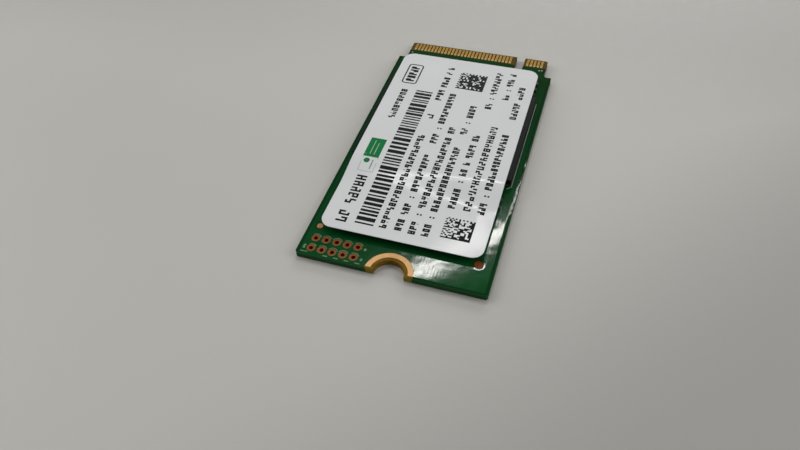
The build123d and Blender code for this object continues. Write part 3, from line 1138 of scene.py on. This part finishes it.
# The tube light shows in the mask along the line between these two points of the board
glare_line = (Vector((4.1, -18.86)), Vector((9.78, -12.8)))
tube_height = 300.0
tube_width = 10.0
tube_white = (1.0, 0.985, 0.95)
world_white = (0.98, 0.99, 1.0, 1)
world_level = 0.145

# The two parts of the tube, the far one dimmer: name, length, shift of its middle along the line, watts
tube_parts = (("tube", 132.0, -29.0, 0.236), ("tube_far_part", 120.0, 97.0, 0.092))

# Soft lights, each facing the card: name, place, size and power in watts
softboxes = (
    ("overhead", (-100.0, -20.0, 600.0), (420.0, 420.0), 0.1),
    ("left_side", (-700.0, 60.0, 400.0), (500.0, 400.0), 2.8),
    ("right_side", (680.0, 140.0, 400.0), (500.0, 400.0), 2.6),
    ("far_low", (-60.0, 1100.0, 480.0), (900.0, 300.0), 4.6),
    ("front", (160.0, -700.0, 240.0), (500.0, 300.0), 0.55),
)


# The table's two pale greys, the darker grey of its painted shadow and shade, and where each begins and ends
table_grey = (0.465, 0.452, 0.421, 1)
table_pale = (0.520, 0.506, 0.473, 1)
table_shadow_grey = (0.360, 0.350, 0.328, 1)
shadow_near_right = (12.0, 44.0)
shade_far = (4.0, 34.0)
shade_far_share = 0.5


def floor_finish():
    """Plain table: pale, faintly clouded, with a painted shadow towards the near right and painted shade
    behind the card.
    """
    finish, tree, shader = new_finish("pale_table")
    place = millimetres(tree)
    cloud = noise(tree, place, 60.0, 2.0)
    speck = noise(tree, place, 1.2, 3.0)
    tone = calc(tree, "ADD", calc(tree, "MULTIPLY", cloud, 0.85), calc(tree, "MULTIPLY", speck, 0.15))
    grey = blend_colours(tree, tone, table_grey, table_pale)
    x, y, _ = wire(tree, "ShaderNodeSeparateXYZ", {0: place}).outputs
    # Painted shadow towards the near right and painted shade behind the card
    near_right = calc(tree, "SUBTRACT", calc(tree, "MULTIPLY", x, 0.8), calc(tree, "MULTIPLY", y, 0.6))
    dim = shift_range(tree, near_right, *shadow_near_right, 0.0, 1.0, smooth=True)
    dim = calc(tree, "MAXIMUM", dim, shift_range(tree, y, *shade_far, 0.0, shade_far_share, smooth=True))
    feed(
        tree,
        shader,
        Base_Color=blend_colours(tree, dim, grey, table_shadow_grey),
        Roughness=shift_range(tree, speck, 0.3, 0.7, 0.5, 0.62),
        Normal=bump(tree, speck, 0.01),
    )
    return finish


def pale_floor(half_size=2500.0, squares=8):
    """The table top that the card lies on."""
    shape = bmesh.new()
    bmesh.ops.create_grid(shape, x_segments=squares, y_segments=squares, size=half_size * MM)
    mesh = bpy.data.meshes.new("pale_floor")
    shape.to_mesh(mesh)
    shape.free()
    mesh.materials.append(floor_finish())
    floor = bpy.data.objects.new("pale_floor", mesh)
    bpy.context.scene.collection.objects.link(floor)


def area_light(name, place, along, facing, size, power, colour=(1.0, 1.0, 1.0)):
    """A rectangle of light at a place, its long side along one direction and its face towards another."""
    lamp = bpy.data.lights.new(name, "AREA")
    lamp.shape = "RECTANGLE"
    lamp.size, lamp.size_y = size[0] * MM, size[1] * MM
    lamp.energy = power
    lamp.color = colour
    back = -facing.normalized()
    side = (along - along.dot(back) * back).normalized()
    up = back.cross(side)
    light = bpy.data.objects.new(name, lamp)
    bpy.context.scene.collection.objects.link(light)
    light.matrix_world = Matrix.Translation(place * MM) @ Matrix((side, up, back)).transposed().to_4x4()


def mirrored(point):
    """Where a light at the tube's height has to hang to be seen in that point of the board."""
    lift = (tube_height - board_top) / (camera_place.z - board_top)
    return point + (point - camera_place.xy) * lift


def studio():
    """A faint even light all round, the tube, and the soft lights."""
    world = bpy.data.worlds.new("studio")
    world.use_nodes = True
    background = world.node_tree.nodes["Background"]
    background.inputs["Color"].default_value = world_white
    background.inputs["Strength"].default_value = world_level
    bpy.context.scene.world = world
    near_end, far_end = (mirrored(point) for point in glare_line)
    run = (far_end - near_end).normalized()
    for name, length, shift, power in tube_parts:
        middle = (near_end + far_end) / 2 + run * shift
        area_light(
            name, Vector((*middle, tube_height)), Vector((*run, 0)), Vector((0, 0, -1)),
            (length, tube_width), power, tube_white,
        )
    for name, place, size, power in softboxes:
        area_light(name, Vector(place), Vector((1, 0, 0)), -Vector(place), size, power)


def photo_camera():
    """The camera that was solved on the photo's board corners."""
    lens = bpy.data.cameras.new("photo_camera")
    lens.lens = camera_lens
    lens.sensor_width = camera_sensor
    lens.clip_start = 1.0 * MM
    lens.clip_end = 10000.0 * MM
    camera = bpy.data.objects.new("photo_camera", lens)
    bpy.context.scene.collection.objects.link(camera)
    back = camera_right.cross(camera_up)
    turn = Matrix((camera_right, camera_up, back)).transposed().to_4x4()
    camera.matrix_world = Matrix.Translation(camera_place * MM) @ turn
    bpy.context.scene.camera = camera


dress_card()
film = label_film()
ink_tree = print_tree()
label_print(film, ink_tree)
board_legend(ink_tree)
mask_rims()
pale_floor()
studio()
photo_camera()
bpy.context.scene.view_settings.view_transform = "Standard"
